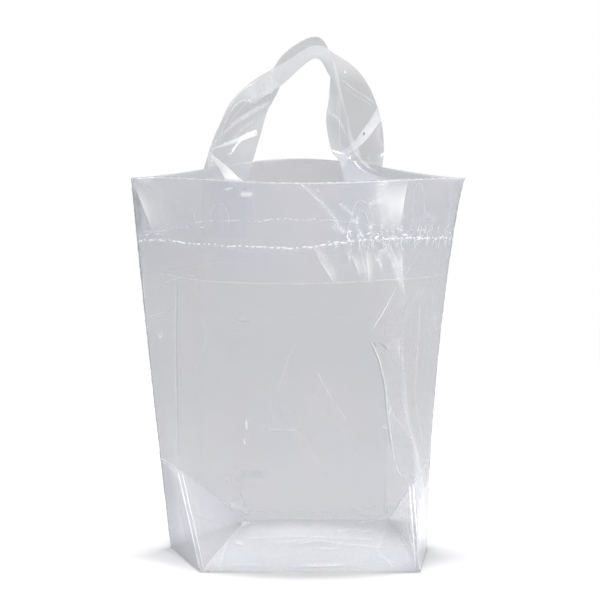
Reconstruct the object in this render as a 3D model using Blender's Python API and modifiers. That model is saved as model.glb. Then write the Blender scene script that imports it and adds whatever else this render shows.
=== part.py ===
"""A clear film carrier bag, standing open on its gusseted bottom.

One web of film makes the body. It comes down as the front panel, folds at the floor, crosses
as the gusset, folds again and goes up as the back panel. Both sides are welded from top to
bottom, and the top is turned in as a hem. Two film straps are welded inside that hem.
The front faces -Y, the floor is z = 0, and the origin is under the middle of the bag.
"""

import math

import bmesh
import bpy
from mathutils import Vector

# The film as it lies flat, in metres.
FILM = 0.0003  # wall of every sheet
FLAT_WIDTH = 0.300  # side weld to side weld
PANEL_HEIGHT = 0.295  # floor fold to turned rim
GUSSET_LEAF = 0.073  # each of the two leaves tucked up into the bottom
HEM_DEPTH = 0.075  # rim down to the free edge of the turned film
WELD_GAP = 0.0003  # between two faces that the weld holds together

# How the opened bag stands. Pairs of values are (left, right) as seen from the front.
FRONT_LEGS = (0.070, 0.065)  # film from each side weld to the front corner, at the floor
BACK_LEGS = (0.0985, 0.086)  # the same, to the back corner
FRONT_SHIFT = 0.009  # middle of the front floor fold, off the centre
BACK_SHIFT = 0.015  # middle of the back floor fold, off the centre
TUCK_LENGTH = (0.0155, 0.0235)  # part of the gusset's middle fold that stays shut
TUCK_DROP = (math.radians(32), math.radians(56))  # how steeply that part slopes inwards
POCKET_BELLY = 0.003  # the tucked leaf stands off the side wall by this much
RIM_REACH = (0.055, 0.069)  # front and back of the mouth, from the line between its corners
RIM_TAKE_UP = 0.019  # film lost along the mouth to its ripples and gathers
RIM_CORNER_Y = -0.010  # that line, from the middle of the base
FRONT_PINCH = (1.4, 0.9)  # 1 is a round corner of the mouth, more is a pinched one
BACK_PINCH = (1.4, 1.4)
RIM_CORNER_DROP = 0.005  # the shrunken side welds hold the corners of the mouth lower
BACK_RIM_SAG = 0.8  # the share of the back rim, from each corner, over which it has sunk
SEAM_BOW = (0.003, 0.009)  # each side weld leans in from a straight line by this much
SEAM_BOW_RISE = 1.4  # 1 has the deepest lean at mid-height, more has it higher
SEAM_BOW_ROUNDNESS = 1.0  # 1 is a sine's arch, less is a fuller one

# The buckle in the right side of the front panel, a slack hollow behind a sharp fold.
BUCKLE_DEPTH = 0.009
BUCKLE_FOLD = ((0.217, 0.040), (0.178, 0.095), (0.118, 0.078), (0.055, 0.030))  # height, from weld

# The gathers below the right-hand strap, where the turned film was fed in too fast.
GATHER_DEPTH = 0.0012
GATHER_PITCH = 0.0165
GATHER_CENTRE = 0.194  # from the left weld
GATHER_WIDTH = 0.082
GATHER_SPAN = (0.5, 1.35)  # from the rim down, as shares of the hem's depth

# The straps. Film distances from the middle of the panel, heights above the rim.
STRAP_WIDTH = 0.037
STRAP_SPACING = (0.119, 0.112)  # middle of one tail to middle of the other: front strap, back strap
STRAP_TAIL = 0.043  # length inside the hem
STRAP_SIDE_SHIFT = (-0.004, -0.003)  # the straps sit a little to the left

# The places that each loop passes, from its left tail over the top to its right tail. A place is the
# strip's middle (x, y, height above the rim), then the bearing and the slope, in degrees, of the line
# across the strip from its inner to its outer edge, then what is left of its width where it curls.
# The bearing turns by about half a turn on the way, which is the twist of the strap.
FRONT_LOOP = (
    ((-0.0489, -0.0510, 0.0193), (173, 5), 0.89),
    ((-0.0422, -0.0460, 0.0335), (209, 5), 0.90),
    ((-0.0327, -0.0395, 0.0500), (233, 12), 0.93),
    ((-0.0224, -0.0318, 0.0634), (252, 11), 1.00),
    ((-0.0089, -0.0220, 0.0840), (267, 23), 1.00),
    ((0.0117, -0.0165, 0.0965), (270, 23), 1.00),
    ((0.0228, -0.0240, 0.0859), (271, 23), 1.00),
    ((0.0260, -0.0310, 0.0629), (279, 17), 0.97),
    ((0.0285, -0.0395, 0.0446), (293, 17), 0.95),
    ((0.0308, -0.0495, 0.0254), (298, 19), 0.74),
    ((0.0393, -0.0570, 0.0128), (336, -3), 0.53),
)
BACK_LOOP = (
    ((-0.0526, 0.0400, 0.0094), (-169, -4), 0.88),
    ((-0.0499, 0.0360, 0.0251), (160, -10), 0.80),
    ((-0.0414, 0.0280, 0.0458), (110, 14), 0.83),
    ((-0.0332, 0.0215, 0.0569), (85, 21), 1.00),
    ((-0.0135, 0.0155, 0.0713), (89, 21), 1.00),
    ((0.0119, 0.0090, 0.0878), (90, 12), 1.00),
    ((0.0259, 0.0132, 0.0786), (80, 18), 0.97),
    ((0.0367, 0.0175, 0.0665), (60, 21), 0.96),
    ((0.0433, 0.0255, 0.0476), (38, 25), 1.00),
    ((0.0470, 0.0350, 0.0264), (17, 20), 0.99),
    ((0.0488, 0.0420, 0.0083), (-10, 9), 0.95),
)

# How finely the curved film is divided.
LEG_COLUMNS = {-1: 6, 1: 8}  # front, back
FOLD_COLUMNS = 26
GUSSET_ROWS = 5
BASE_ROWS = 6
WALL_ROWS = 8
HEM_ROWS = 4
LOOP_ROWS = 4  # between two of the places named above
TAIL_ROWS = 3
STRAP_COLUMNS = 6
RIM_POINTS = 160
HALVINGS = 40  # of the range, where a value is searched for
FLATTEST = 0.9999  # a strip with more than this share of its width left is bent no flatter

FRONT, BACK = -1, 1
SIDES = (FRONT, BACK)


def lerp(a, b, t):
    return a + (b - a) * t


def along(points, share):
    """The point a given share of the way along a polyline."""
    steps = [(b - a).length for a, b in zip(points, points[1:])]
    left = share * sum(steps)
    for a, b, step in zip(points, points[1:], steps):
        if left <= step:
            return lerp(a, b, left / step)
        left -= step
    return points[-1].copy()


def corner_points(side):
    """The left and right floor corners of one panel, where its floor fold ends."""
    legs = FRONT_LEGS if side == FRONT else BACK_LEGS
    shift = FRONT_SHIFT if side == FRONT else BACK_SHIFT
    half = (FLAT_WIDTH - sum(legs)) / 2
    return Vector((shift - half, side * GUSSET_LEAF, 0)), Vector((shift + half, side * GUSSET_LEAF, 0))


def ear_tip(end):
    """Where a side weld meets the floor: both legs of film reach it. end is 0 left, 1 right."""
    front, back = corner_points(FRONT)[end], corner_points(BACK)[end]
    across = back - front
    near = (FRONT_LEGS[end] ** 2 - BACK_LEGS[end] ** 2 + across.length_squared) / (2 * across.length)
    out = math.sqrt(max(FRONT_LEGS[end] ** 2 - near**2, 0))
    normal = Vector((across.y, -across.x, 0)).normalized() * (-1 if end == 0 else 1)
    return front + across.normalized() * near + normal * out


def floor_point(side, s):
    """The panel's lower fold, at film distance s from the left weld."""
    left, right = corner_points(side)
    return along([ear_tip(0), left, right, ear_tip(1)], s / FLAT_WIDTH)


def rim_outline(side, chord):
    points = []
    for i in range(RIM_POINTS + 1):
        t = 2 * i / RIM_POINTS - 1
        pinch = (FRONT_PINCH if side == FRONT else BACK_PINCH)[0 if t < 0 else 1]
        reach = RIM_REACH[0 if side == FRONT else 1] * (1 - t * t) ** pinch
        points.append(Vector((t * chord / 2, RIM_CORNER_Y + side * reach, PANEL_HEIGHT)))
    return points


def length_of(points):
    return sum((b - a).length for a, b in zip(points, points[1:]))


def rim_chord():
    """The straight distance between the mouth's corners at which the film is as long as it is."""
    low, high = 0.0, FLAT_WIDTH
    for _ in range(HALVINGS):
        middle = (low + high) / 2
        if length_of(rim_outline(FRONT, middle)) > FLAT_WIDTH - RIM_TAKE_UP:
            high = middle
        else:
            low = middle
    return low


CHORD = rim_chord()
RIMS = {side: rim_outline(side, CHORD) for side in SIDES}


def buckle(s, height):
    """How far the slack side of the front panel has fallen in."""
    from_weld = FLAT_WIDTH - s
    for (top, wide_top), (low, wide_low) in zip(BUCKLE_FOLD, BUCKLE_FOLD[1:]):
        if low <= height <= top:
            fold = lerp(wide_low, wide_top, (height - low) / (top - low))
            break
    else:
        return 0.0
    if from_weld >= fold:
        return 0.0
    top, low = BUCKLE_FOLD[0][0], BUCKLE_FOLD[-1][0]
    swell = math.sin(math.pi * (height - low) / (top - low))
    return BUCKLE_DEPTH * swell * math.sin(math.pi * from_weld / fold)


def gather(s, height):
    """The small folds between the hem's weld and its free edge."""
    off = (s - GATHER_CENTRE) / (GATHER_WIDTH / 2)
    start, end = GATHER_SPAN
    down = ((PANEL_HEIGHT - height) / HEM_DEPTH - start) / (end - start)
    if abs(off) >= 1 or not 0 < down < 1:
        return 0.0
    swell = math.cos(math.pi * off / 2) ** 2 * math.sin(math.pi * down)
    return GATHER_DEPTH * swell * math.cos(math.tau * (s - GATHER_CENTRE) / GATHER_PITCH)


def rim_drop(side, t):
    """How far the rim hangs below its middle, at a share t of the way to a corner."""
    if side == FRONT:
        return RIM_CORNER_DROP * t**4
    part = min(t / BACK_RIM_SAG, 1)
    return RIM_CORNER_DROP * part * part * (3 - 2 * part)


def wall_point(side, s, height):
    """The outer face of a panel at film distance s from the left weld and a height of film."""
    t = 2 * s / FLAT_WIDTH - 1
    share = height / PANEL_HEIGHT
    point = lerp(floor_point(side, s), along(RIMS[side], s / FLAT_WIDTH), share)
    bow = SEAM_BOW[0] * max(-t, 0) ** 2 - SEAM_BOW[1] * max(t, 0) ** 2
    point.x += bow * math.sin(math.pi * share**SEAM_BOW_RISE) ** SEAM_BOW_ROUNDNESS
    point.z = height - rim_drop(side, abs(t)) * share
    if side == FRONT:
        inward = Vector((-max(t, 0) ** 3, 1, 0)).normalized()
        point += inward * (buckle(s, height) + gather(s, height))
    return point


def column_places(side):
    """Film distances of one panel's columns, with one on each floor corner."""
    legs = FRONT_LEGS if side == FRONT else BACK_LEGS
    left, right = legs[0], FLAT_WIDTH - legs[1]
    count = LEG_COLUMNS[side]
    places = [left * i / count for i in range(count)]
    places += [lerp(left, right, i / FOLD_COLUMNS) for i in range(FOLD_COLUMNS)]
    places += [lerp(right, FLAT_WIDTH, i / count) for i in range(count + 1)]
    return places


def wall_heights():
    hem_edge = PANEL_HEIGHT - HEM_DEPTH
    low = [GUSSET_LEAF * i / GUSSET_ROWS for i in range(GUSSET_ROWS)]
    middle = [lerp(GUSSET_LEAF, hem_edge, i / WALL_ROWS) for i in range(WALL_ROWS)]
    top = PANEL_HEIGHT - hem_inset() / 2
    return low + middle + [lerp(hem_edge, top, i / HEM_ROWS) for i in range(HEM_ROWS + 1)]


def hem_inset():
    """Outer face of the panel to the visible face of the film turned in behind it."""
    return 2 * FILM + WELD_GAP


def inset(ring, distance):
    """A closed ring of points moved inwards, with true corners."""
    moved = []
    for before, here, after in zip(ring[-1:] + ring[:-1], ring, ring[1:] + ring[:1]):
        first, second = (here - before).xy.normalized(), (after - here).xy.normalized()
        n1, n2 = Vector((-first.y, first.x)), Vector((-second.y, second.x))
        corner = distance / (1 + n1.dot(n2))
        moved.append(here + Vector((*((n1 + n2) * corner), 0)))
    return moved


def ring_at(height):
    """One loop of points round the bag: front left to right, then back right to left."""
    front = [wall_point(FRONT, s, height) for s in column_places(FRONT)]
    back = [wall_point(BACK, s, height) for s in column_places(BACK)]
    return front + back[-2:0:-1]


def skin(bm, first, second):
    """Quads between two rows of vertices. A vertex that both rows share leaves a triangle."""
    for a, b, c, d in zip(first, first[1:], second[1:], second):
        corners = list(dict.fromkeys((a, b, c, d)))
        if len(corners) > 2:
            bm.faces.new(corners)


def split_ear(point, side, row):
    """Below the gusset's fold each side weld is two fins, laid against each other."""
    apart = WELD_GAP * max(1 - row / GUSSET_ROWS, 0) / 2
    return point + Vector((0, side * apart, 0))


def add_panels(bm):
    """Both panels up to the rim, as grids of vertices that share the side welds."""
    grids = {}
    for side in SIDES:
        grid = []
        for row, height in enumerate(wall_heights()):
            points = [wall_point(side, s, height) for s in column_places(side)]
            points[0] = split_ear(points[0], side, row)
            points[-1] = split_ear(points[-1], side, row)
            line = [bm.verts.new(p) for p in points]
            if side == BACK and row >= GUSSET_ROWS:
                for end in (0, -1):
                    bm.verts.remove(line[end])
                    line[end] = grids[FRONT][row][end]
            grid.append(line)
        grids[side] = grid
        for lower, upper in zip(grid, grid[1:]):
            skin(bm, lower, upper) if side == FRONT else skin(bm, upper, lower)
    return grids


def add_hem(bm, grids):
    """The top rolled over and taken down inside to its free edge."""
    gap = hem_inset()
    top = PANEL_HEIGHT - gap / 2
    edge = PANEL_HEIGHT - HEM_DEPTH
    turns = [(PANEL_HEIGHT, gap / 2)]
    turns += [(lerp(top, edge, i / HEM_ROWS), gap) for i in range(HEM_ROWS + 1)]
    front, back = grids[FRONT][-1], grids[BACK][-1]
    below = front + back[-2:0:-1]
    for height, inwards in turns:
        line = [bm.verts.new(p) for p in inset(ring_at(height), inwards)]
        skin(bm, below + below[:1], line + line[:1])
        below = line


def tuck_point(end, weld_top):
    """The inner end of the gusset's middle fold, a short way in from the side weld."""
    inwards = 1 if end == 0 else -1
    drop = TUCK_DROP[end]
    return weld_top + TUCK_LENGTH[end] * Vector((inwards * math.cos(drop), 0, -math.sin(drop)))


def add_pocket(bm, grid, end, side, tuck):
    """The leaf tucked against one leg of a panel. Returns the verts up its open crease."""
    count = LEG_COLUMNS[side]
    columns = [row[: count + 1] if end == 0 else row[: -count - 2 : -1] for row in grid]
    weld = [row[0] for row in columns[: GUSSET_ROWS + 1]]
    corner = columns[0][-1]
    away = (tuck.co - corner.co).cross(weld[0].co - corner.co).normalized()
    if away.dot(Vector((0, -side, 0))) < 0:
        away.negate()
    lines = [columns[0]]
    for row in range(1, GUSSET_ROWS + 1):
        share = row / GUSSET_ROWS
        crease = tuck if row == GUSSET_ROWS else bm.verts.new(lerp(corner.co, tuck.co, share))
        line = [weld[row]]
        for i in range(1, count):
            belly = POCKET_BELLY * math.sin(math.pi * i / count) * math.sin(math.pi * share)
            flat = lerp(weld[row].co, crease.co, i / count)
            line.append(bm.verts.new(flat + away * belly))
        lines.append(line + [crease])
    return lines


def add_gusset_end(bm, grids, end):
    """One end of the gusset: two tucked leaves and the sloping triangle between them."""
    weld_top = grids[FRONT][GUSSET_ROWS][0 if end == 0 else -1]
    tuck = bm.verts.new(tuck_point(end, weld_top.co))
    front = add_pocket(bm, grids[FRONT], end, FRONT, tuck)
    back = add_pocket(bm, grids[BACK], end, BACK, tuck)
    back[-1] = front[-1]
    turned = end == 1
    base_edge = None
    below = None
    for row, (near, far) in enumerate(zip(front, back)):
        if row == GUSSET_ROWS:
            middle = [tuck] * (BASE_ROWS - 1)
        else:
            middle = [
                bm.verts.new(lerp(near[-1].co, far[-1].co, i / BASE_ROWS)) for i in range(1, BASE_ROWS)
            ]
        line = near + middle + far[::-1]
        if row == 0:
            base_edge = [near[-1]] + middle + [far[-1]]
        else:
            skin(bm, line, below) if turned else skin(bm, below, line)
        below = line
    return base_edge


def add_base(bm, grids, left_edge, right_edge):
    """The flat floor of the bag, between its front and back folds."""
    front, back = (
        grids[side][0][LEG_COLUMNS[side] : LEG_COLUMNS[side] + FOLD_COLUMNS + 1] for side in SIDES
    )
    below = front
    for row in range(1, BASE_ROWS + 1):
        if row == BASE_ROWS:
            line = back
        else:
            share = row / BASE_ROWS
            line = [left_edge[row]]
            line += [bm.verts.new(lerp(a.co, b.co, share)) for a, b in zip(front[1:-1], back[1:-1])]
            line.append(right_edge[row])
        skin(bm, line, below)
        below = line


def open_ear_tips(grids):
    """The wall and the leaf behind it meet at the ear's tip, each cut from there to part at once."""
    for side in SIDES:
        for end in (0, -1):
            tip = grids[side][0][end]
            for face in list(tip.link_faces):
                corners = list(face.verts)
                bmesh.utils.face_split(face, tip, corners[(corners.index(tip) + 2) % 4])


def make_object(name, bm, material, collection):
    """An open sheet of film, given its wall behind its faces."""
    mesh = bpy.data.meshes.new(name)
    bm.to_mesh(mesh)
    bm.free()
    mesh.materials.append(material)
    mesh.shade_smooth()
    mesh.set_sharp_from_angle(angle=math.radians(40))
    sheet = bpy.data.objects.new(name, mesh)
    collection.objects.link(sheet)
    wall = sheet.modifiers.new("wall", "SOLIDIFY")
    wall.thickness = FILM
    wall.offset = -1
    return sheet


def film_material(name, colour):
    material = bpy.data.materials.new(name)
    material.use_nodes = True
    shader = material.node_tree.nodes["Principled BSDF"]
    shader.inputs["Base Color"].default_value = (*colour, 1)
    shader.inputs["Roughness"].default_value = 0.12
    shader.inputs["Metallic"].default_value = 0
    shader.inputs["IOR"].default_value = 1.51
    shader.inputs["Alpha"].default_value = 0.3
    return material


def film_bag(collection):
    bm = bmesh.new()
    grids = add_panels(bm)
    add_hem(bm, grids)
    left_edge = add_gusset_end(bm, grids, 0)
    right_edge = add_gusset_end(bm, grids, 1)
    add_base(bm, grids, left_edge, right_edge)
    open_ear_tips(grids)
    bmesh.ops.recalc_face_normals(bm, faces=bm.faces)
    return make_object("film_bag", bm, film_material("body_film", (0.80, 0.82, 0.84)), collection)


def spline(points, steps):
    """A curve through points[1:-1]. The first and last only give it its direction there."""
    curve = []
    for before, a, b, after in zip(points, points[1:], points[2:], points[3:]):
        for i in range(steps):
            t = i / steps
            curve.append((2 * a + (b - before) * t + (2 * before - 5 * a + 4 * b - after) * t * t
                          + (3 * a - before - 3 * b + after) * t**3) / 2)
    return curve + [points[-2]]


def tail_place(side, s, height):
    """On the inner face of the hem, a weld gap off it. The hem is straight between its columns."""
    places = column_places(side)
    column = max(i for i, place in enumerate(places[:-1]) if place <= s)
    a, b = (wall_point(side, place, height) for place in places[column : column + 2])
    run = (b - a).xy.normalized()
    inward = Vector((-run.y, run.x, 0)) * -side
    share = (s - places[column]) / (places[column + 1] - places[column])
    return lerp(a, b, share) + inward * (hem_inset() + WELD_GAP)


def loop_edges(side):
    """The outer and inner edge at each named place of a loop."""
    edges = []
    for centre, (bearing, slope), spread in FRONT_LOOP if side == FRONT else BACK_LOOP:
        bearing, slope = math.radians(bearing), math.radians(slope)
        level = math.cos(slope)
        across = Vector((level * math.cos(bearing), level * math.sin(bearing), math.sin(slope)))
        middle = Vector(centre) + Vector((0, 0, PANEL_HEIGHT))
        half = across * spread * STRAP_WIDTH / 2
        edges.append((middle + half, middle - half))
    return edges


def curl_angle(share):
    """Half the angle of the arc whose chord is this share of its length."""
    low, high = 0.0, math.pi / 2
    for _ in range(HALVINGS):
        middle = (low + high) / 2
        if math.sin(middle) > share * middle:
            low = middle
        else:
            high = middle
    return low


def strip_row(outer, inner, outwards, free):
    """Points across the strip. It curls where its edges are closer together than it is wide.
    free is 0 beside a tail, which lies flat, and 1 where the strip curls as it likes."""
    chord = (outer - inner).length
    width = lerp(chord, STRAP_WIDTH, free)
    half = curl_angle(min(chord / width, FLATTEST))
    radius = chord / 2 / math.sin(half)
    middle = (outer + inner) / 2
    row = []
    for i in range(STRAP_COLUMNS + 1):
        angle = half * (1 - 2 * i / STRAP_COLUMNS)
        rise = radius * (math.cos(angle) - math.cos(half))
        row.append(middle + (outer - inner).normalized() * radius * math.sin(angle) + outwards * rise)
    return row


def tail_edges(side, end):
    """Film distances of the two edges of a tail from the left weld: outer, inner."""
    which = 0 if side == FRONT else 1
    out = -1 if end == 0 else 1
    middle = FLAT_WIDTH / 2 + STRAP_SIDE_SHIFT[which] + out * STRAP_SPACING[which] / 2
    half = STRAP_WIDTH / 2 / (1 - RIM_TAKE_UP / FLAT_WIDTH)
    return [middle + out * half, middle - out * half]


def strap_rows(side):
    """Rows of a strap from the bottom of its left tail, over the loop, to the bottom of the right."""
    tails = []
    for end in (0, 1):
        places = tail_edges(side, end)
        rows = []
        for i in range(TAIL_ROWS + 1):
            height = PANEL_HEIGHT - STRAP_TAIL * (1 - i / TAIL_ROWS)
            across = [lerp(*places, j / STRAP_COLUMNS) for j in range(STRAP_COLUMNS + 1)]
            rows.append([tail_place(side, s, height) for s in across])
        tails.append(rows)
    left, right = tails
    named = [(left[-2][0], left[-2][-1]), (left[-1][0], left[-1][-1]), *loop_edges(side)]
    named += [(right[-1][0], right[-1][-1]), (right[-2][0], right[-2][-1])]
    outer, inner = (spline([pair[k] for pair in named], LOOP_ROWS) for k in (0, 1))
    middles = [(a + b) / 2 for a, b in zip(outer, inner)]
    rows = left[:-1]
    for i in range(1, len(middles) - 1):
        run = (middles[i + 1] - middles[i - 1]).normalized()
        outwards = (outer[i] - inner[i]).cross(run).normalized() * -side
        free = min(i, len(middles) - 1 - i, LOOP_ROWS) / LOOP_ROWS
        rows.append(strip_row(outer[i], inner[i], outwards, free))
    rows.insert(TAIL_ROWS, left[-1])
    return rows + right[::-1]


def strap(name, side, collection):
    """One flat strip of film: up from its left tail, over the top and down to its right tail."""
    rows = strap_rows(side)
    bm = bmesh.new()
    lines = [[bm.verts.new(p) for p in row] for row in rows]
    for lower, upper in zip(lines, lines[1:]):
        skin(bm, lower, upper) if side == FRONT else skin(bm, upper, lower)
    return make_object(name, bm, film_material(f"{name}_film", (0.82, 0.84, 0.86)), collection)


def clear_scene():
    for thing in list(bpy.data.objects):
        bpy.data.objects.remove(thing, do_unlink=True)


def main():
    clear_scene()
    collection = bpy.data.collections.new("carrier_bag")
    bpy.context.scene.collection.children.link(collection)
    film_bag(collection)
    strap("front_loop_handle", FRONT, collection)
    strap("back_loop_handle", BACK, collection)


main()
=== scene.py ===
"""The look of a clear film carrier bag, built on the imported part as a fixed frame.

Lengths are in millimetres and angles in degrees up to the moment that a mesh is made, which is in
metres. A place on the film is (s, h): s runs along the film from the left side weld, and h up from
the floor fold. The front of the bag faces -Y.
"""

import math

import bmesh
import bpy
import numpy as np
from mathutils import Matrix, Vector, noise


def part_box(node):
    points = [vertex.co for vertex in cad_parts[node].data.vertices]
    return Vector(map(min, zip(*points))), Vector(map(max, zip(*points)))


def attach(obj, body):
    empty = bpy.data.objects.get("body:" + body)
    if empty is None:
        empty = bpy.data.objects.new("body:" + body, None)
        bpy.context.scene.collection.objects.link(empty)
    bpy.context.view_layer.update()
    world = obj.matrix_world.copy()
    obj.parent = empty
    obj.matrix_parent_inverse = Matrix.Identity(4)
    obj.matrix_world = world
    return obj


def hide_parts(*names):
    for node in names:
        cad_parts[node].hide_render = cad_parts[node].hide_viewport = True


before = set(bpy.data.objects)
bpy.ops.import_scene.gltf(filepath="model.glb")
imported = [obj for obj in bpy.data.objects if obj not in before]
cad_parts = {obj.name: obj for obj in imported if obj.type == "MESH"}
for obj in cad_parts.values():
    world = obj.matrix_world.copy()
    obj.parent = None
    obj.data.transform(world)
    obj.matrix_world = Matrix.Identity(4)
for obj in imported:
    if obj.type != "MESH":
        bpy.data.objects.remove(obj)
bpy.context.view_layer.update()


# Table and room
# A pale seamless table in a plain studio. Seen directly, table and room are pure white, and the
# table keeps the bag's shadow. Seen through the film they have the grey of the studio.

TABLE_HALF = 4.0
STUDIO_GREY = 0.555
TABLE_WHITE, TABLE_SHADED = 0.82, 0.39
TABLE_NEAR, TABLE_FAR = 0.35, 0.9
FILL_LIGHT = 0.43


def feed(node, **inputs):
    """Sets or links inputs, given by name with _ for a space, or as in_0, in_1."""
    for key, value in inputs.items():
        slot = node.inputs[int(key[3:]) if key.startswith("in_") else key.replace("_", " ")]
        if isinstance(value, Signal):
            value.tree.links.new(value.socket, slot)
        else:
            slot.default_value = value


class Signal:
    """One output in a node tree. Sums on it, and on plain numbers with it, add the Math nodes."""

    def __init__(self, tree, socket):
        self.tree, self.socket = tree, socket

    def node(self, kind, output=0, settings=None, **inputs):
        """Adds any other node and feeds it."""
        made = self.tree.nodes.new(kind)
        for key, value in (settings or {}).items():
            setattr(made, key, value)
        feed(made, **inputs)
        return Signal(self.tree, made.outputs[output])

    def math(self, operation, first, second=0.0):
        return self.node("ShaderNodeMath", 0, {"operation": operation}, in_0=first, in_1=second)

    def __add__(self, other):
        return self.math("ADD", self, other)

    def __radd__(self, other):
        return self.math("ADD", other, self)

    def __sub__(self, other):
        return self.math("SUBTRACT", self, other)

    def __rsub__(self, other):
        return self.math("SUBTRACT", other, self)

    def __mul__(self, other):
        return self.math("MULTIPLY", self, other)

    def __rmul__(self, other):
        return self.math("MULTIPLY", other, self)

    def __pow__(self, other):
        return self.math("POWER", self, other)

    def ramp(self, low, high):
        """Eased from 0 at low to 1 at high."""
        return self.node("ShaderNodeMapRange", 0, {"interpolation_type": "SMOOTHSTEP"}, Value=self,
                         From_Min=low, From_Max=high)

    def most(self, other):
        return self.math("MAXIMUM", self, other)

    def grain(self, across, along, detail=2.0, seed=0.0):
        """Noise on a vector of film millimetres, with its own size across and along the film."""
        scaled = self.node("ShaderNodeMapping", 0, {}, Vector=self, Location=(seed, seed, 0),
                           Scale=(1 / across, 1 / along, 1))
        return self.node("ShaderNodeTexNoise", "Fac", {}, Vector=scaled, Scale=1.0, Detail=detail)


def put_in(name, data):
    """A new object of the scene."""
    thing = bpy.data.objects.new(name, data)
    bpy.context.scene.collection.objects.link(thing)
    return thing


def blank_material(name):
    """A new material, with its node tree and its shader."""
    material = bpy.data.materials.new(name)
    material.use_nodes = True
    return material, material.node_tree, material.node_tree.nodes["Principled BSDF"]


def studio_rays(tree):
    """Which rays show the studio, and which of them show it white: those straight from the camera
    and those that are mirrored or bent, but not those that have passed through film."""
    path = tree.nodes.new("ShaderNodeLightPath")
    camera, mirrored, bent, layers = (
        Signal(tree, path.outputs[name])
        for name in ("Is Camera Ray", "Is Glossy Ray", "Is Transmission Ray", "Transparent Depth"))
    other = mirrored.most(bent)
    return camera.most(other), (camera * layers.math("LESS_THAN", layers, 0.5)).most(other)


def make_table():
    mesh = bpy.data.meshes.new("table")
    half = TABLE_HALF
    corners = [(-half, -half), (half, -half), (half, half), (-half, half)]
    mesh.from_pydata([(x, y, -0.0006) for x, y in corners], [], [(0, 1, 2, 3)])
    table = put_in("table", mesh)
    material, tree, shader = blank_material("table_white")
    lit = Signal(tree, shader.outputs[0])
    white = studio_rays(tree)[1]
    shade = TABLE_SHADED + (TABLE_WHITE - TABLE_SHADED) * white
    feed(shader, Roughness=1, Specular_IOR_Level=0, Base_Color=shade)
    far = lit.node("ShaderNodeEmission", 0, {}, Strength=STUDIO_GREY + (1 - STUDIO_GREY) * white)
    spot = lit.node("ShaderNodeTexCoord", "Object")
    reach = spot.node("ShaderNodeVectorMath", "Value", {"operation": "LENGTH"}, in_0=spot)
    ground = lit.node("ShaderNodeMixShader", 0, {}, in_0=reach.ramp(TABLE_NEAR, TABLE_FAR),
                      in_1=lit, in_2=far)
    feed(tree.nodes["Material Output"], Surface=ground)
    mesh.materials.append(material)


def make_room():
    world = bpy.data.worlds.new("room")
    bpy.context.scene.world = world
    world.use_nodes = True
    tree = world.node_tree
    lit = Signal(tree, tree.nodes["Background"].outputs[0])
    feed(tree.nodes["Background"], Color=(0.95, 0.95, 1, 1), Strength=FILL_LIGHT)
    seen, white = studio_rays(tree)
    bright = lit.node("ShaderNodeBackground", 0, {}, Color=(1, 1, 1, 1),
                      Strength=STUDIO_GREY + (1 - STUDIO_GREY) * white)
    both = lit.node("ShaderNodeMixShader", 0, {}, in_0=seen, in_1=lit, in_2=bright)
    feed(tree.nodes["World Output"], Surface=both)


def lamp(name, place, target, size, watts):
    light = bpy.data.lights.new(name, "AREA")
    light.shape = "RECTANGLE"
    light.size, light.size_y = size
    light.energy = watts
    holder = put_in(name, light)
    holder.location = place
    holder.rotation_euler = (Vector(place) - Vector(target)).to_track_quat("Z", "Y").to_euler()
    holder.visible_camera = False


make_table()
make_room()
lamp("softbox_above", (0, 0.075, 1.6), (0, 0, 0.2), (0.35, 0.13), 26)
lamp("strip_left", (-0.95, 0.25, 0.45), (0, 0, 0.4), (0.10, 0.84), 1.7)
lamp("strip_right", (0.73, -0.68, 0.45), (0, 0, 0.4), (0.10, 0.84), 1.6)
lamp("bar_front", (0.3, -1.6, 1.3), (0, 0, 0.25), (0.7, 0.12), 14)


# Camera
# A long lens from a little above the rim, as in the photograph.

CAMERA_PITCH = 11.134
CAMERA_DISTANCE = 2.0
CAMERA_TARGET = (0.00129, 0, 0.1942)
CAMERA_LENS = 156.77


def make_camera():
    camera = put_in("camera", bpy.data.cameras.new("camera"))
    camera.data.sensor_width = 36
    camera.data.lens = CAMERA_LENS
    pitch = math.radians(CAMERA_PITCH)
    away = Vector((0, -math.cos(pitch), math.sin(pitch))) * CAMERA_DISTANCE
    camera.location = Vector(CAMERA_TARGET) + away
    camera.rotation_euler = (math.pi / 2 - pitch, 0, 0)
    bpy.context.scene.camera = camera


make_camera()


# Film
# Low-density polyethylene, blown as a tube and left clear. It is glossy on both faces, a little
# hazy, and it turns white where it has been welded or sharply folded.

BLUISH_FILM = (0.68, 0.72, 0.775)
ROSY_FILM = (0.735, 0.72, 0.77)
# White of film turned white at welds and folds, and also the colour of painted highlights.
WHITENED_AND_HIGHLIGHT_FILM = (0.95, 0.96, 0.97)
# Colour of the painted shade beside folds.
SHADED_FILM = (0.30, 0.33, 0.36)


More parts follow.
